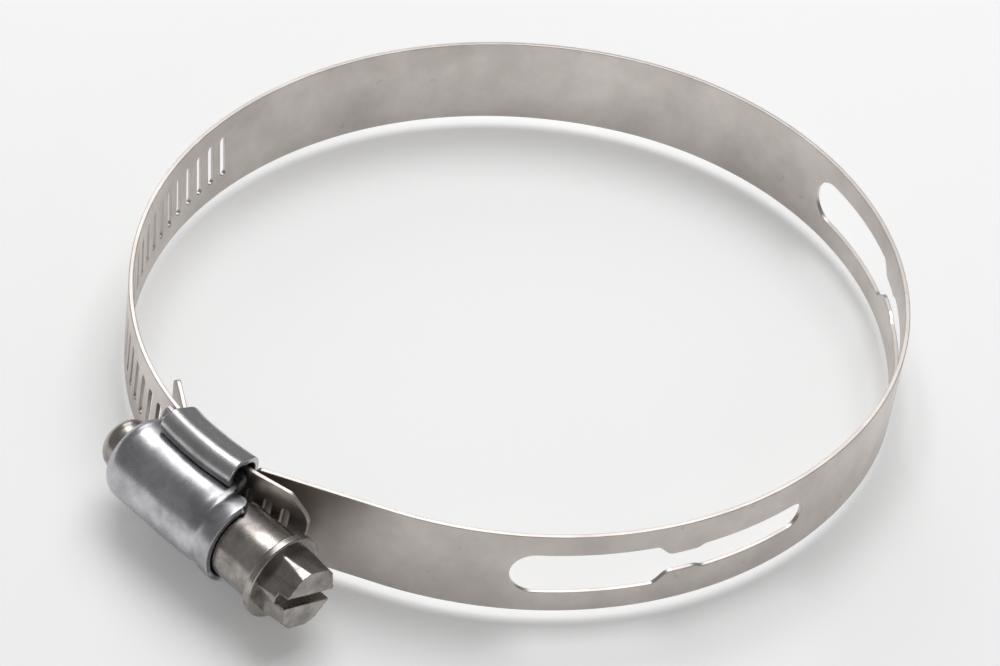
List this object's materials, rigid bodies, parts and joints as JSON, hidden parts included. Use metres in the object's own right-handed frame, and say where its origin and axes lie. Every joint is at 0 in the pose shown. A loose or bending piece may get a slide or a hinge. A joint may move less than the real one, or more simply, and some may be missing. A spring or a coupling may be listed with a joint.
{
  "type": "worm-drive band clamp",
  "caption": "Worm-drive band clamp: a slotted steel band with two keyhole windows, closed by a hex-head screw in a saddle and housing.",
  "frame": {"origin": "centre of the clamping bore at the middle of the band's width", "axes": "+Z along the clamping bore; the screw lies parallel to X on the -Y side with its hex head towards +X"},
  "size_m": [0.0931, 0.1096, 0.0166],
  "materials": {
    "band_steel": "rolled stainless strip, bright matte with sheared edges",
    "saddle_steel": "bent stainless sheet, satin with light handling marks",
    "housing_steel": "drawn stainless sheet, satin",
    "screw_steel": "turned and cold-headed stainless steel"
  },
  "bodies": {
    "root": {"band_anchor": "band_steel", "saddle": "saddle_steel", "housing": "housing_steel"},
    "screw": {"worm_screw": "screw_steel"},
    "front_window": {"band_front_window": "band_steel"},
    "back_window": {"band_back_window": "band_steel"},
    "plain_1": {"band_plain_1": "band_steel"},
    "plain_2": {"band_plain_2": "band_steel"},
    "plain_3": {"band_plain_3": "band_steel"},
    "plain_4": {"band_plain_4": "band_steel"},
    "slotted_1": {"band_slotted_1": "band_steel"},
    "slotted_2": {"band_slotted_2": "band_steel"},
    "tail": {"band_tail": "band_steel"}
  },
  "joints": [
    {"name": "screw_turn", "type": "hinge", "parent": "root", "child": "screw", "pos_m": [-0.00421, -0.05946, 0.0003], "axis": [-1, 0, 0], "range_deg": [-360, 1440]},
    {"name": "flex_1", "type": "hinge", "parent": "root", "child": "front_window", "pos_m": [0.02285, -0.04284, 0], "axis": [0, 0, 1], "range_deg": [-1.13, 4.37]},
    {"name": "flex_2", "type": "hinge", "parent": "front_window", "child": "back_window", "pos_m": [0.0428, 0.01088, 0], "axis": [0, 0, 1], "range_deg": [-0.31, 1.11]},
    {"name": "flex_3", "type": "hinge", "parent": "back_window", "child": "plain_1", "pos_m": [-0.00072, 0.04415, 0], "axis": [0, 0, 1], "range_deg": [-0.58, 2.16]},
    {"name": "flex_4", "type": "hinge", "parent": "plain_1", "child": "plain_2", "pos_m": [-0.02007, 0.03934, 0], "axis": [0, 0, 1], "range_deg": [-0.46, 1.67]},
    {"name": "flex_5", "type": "hinge", "parent": "plain_2", "child": "plain_3", "pos_m": [-0.03566, 0.02682, 0], "axis": [0, 0, 1], "range_deg": [-0.173, 0.544]},
    {"name": "flex_6", "type": "hinge", "parent": "plain_3", "child": "plain_4", "pos_m": [-0.04546, 0.0094, 0], "axis": [0, 0, 1], "range_deg": [-0.094, 0.225]},
    {"name": "flex_7", "type": "hinge", "parent": "plain_4", "child": "slotted_1", "pos_m": [-0.04809, -0.01042, 0], "axis": [0, 0, 1], "range_deg": [-0.094, 0.225]},
    {"name": "flex_8", "type": "hinge", "parent": "slotted_1", "child": "slotted_2", "pos_m": [-0.04265, -0.0304, 0], "axis": [0, 0, 1], "range_deg": [-0.29, 1]},
    {"name": "flex_9", "type": "hinge", "parent": "slotted_2", "child": "tail", "pos_m": [-0.02986, -0.046, 0], "axis": [0, 0, 1], "range_deg": [-0.86, 3.28]}
  ],
  "couplings": [
    {"joint": "flex_1", "follows": "screw_turn", "ratio": 0.0030007},
    {"joint": "flex_2", "follows": "screw_turn", "ratio": 0.0007342},
    {"joint": "flex_3", "follows": "screw_turn", "ratio": 0.0014648},
    {"joint": "flex_4", "follows": "screw_turn", "ratio": 0.0011262},
    {"joint": "flex_5", "follows": "screw_turn", "ratio": 0.0003429},
    {"joint": "flex_6", "follows": "screw_turn", "ratio": 0.0001213},
    {"joint": "flex_7", "follows": "screw_turn", "ratio": 0.0001213},
    {"joint": "flex_8", "follows": "screw_turn", "ratio": 0.0006609},
    {"joint": "flex_9", "follows": "screw_turn", "ratio": 0.0022406}
  ]
}
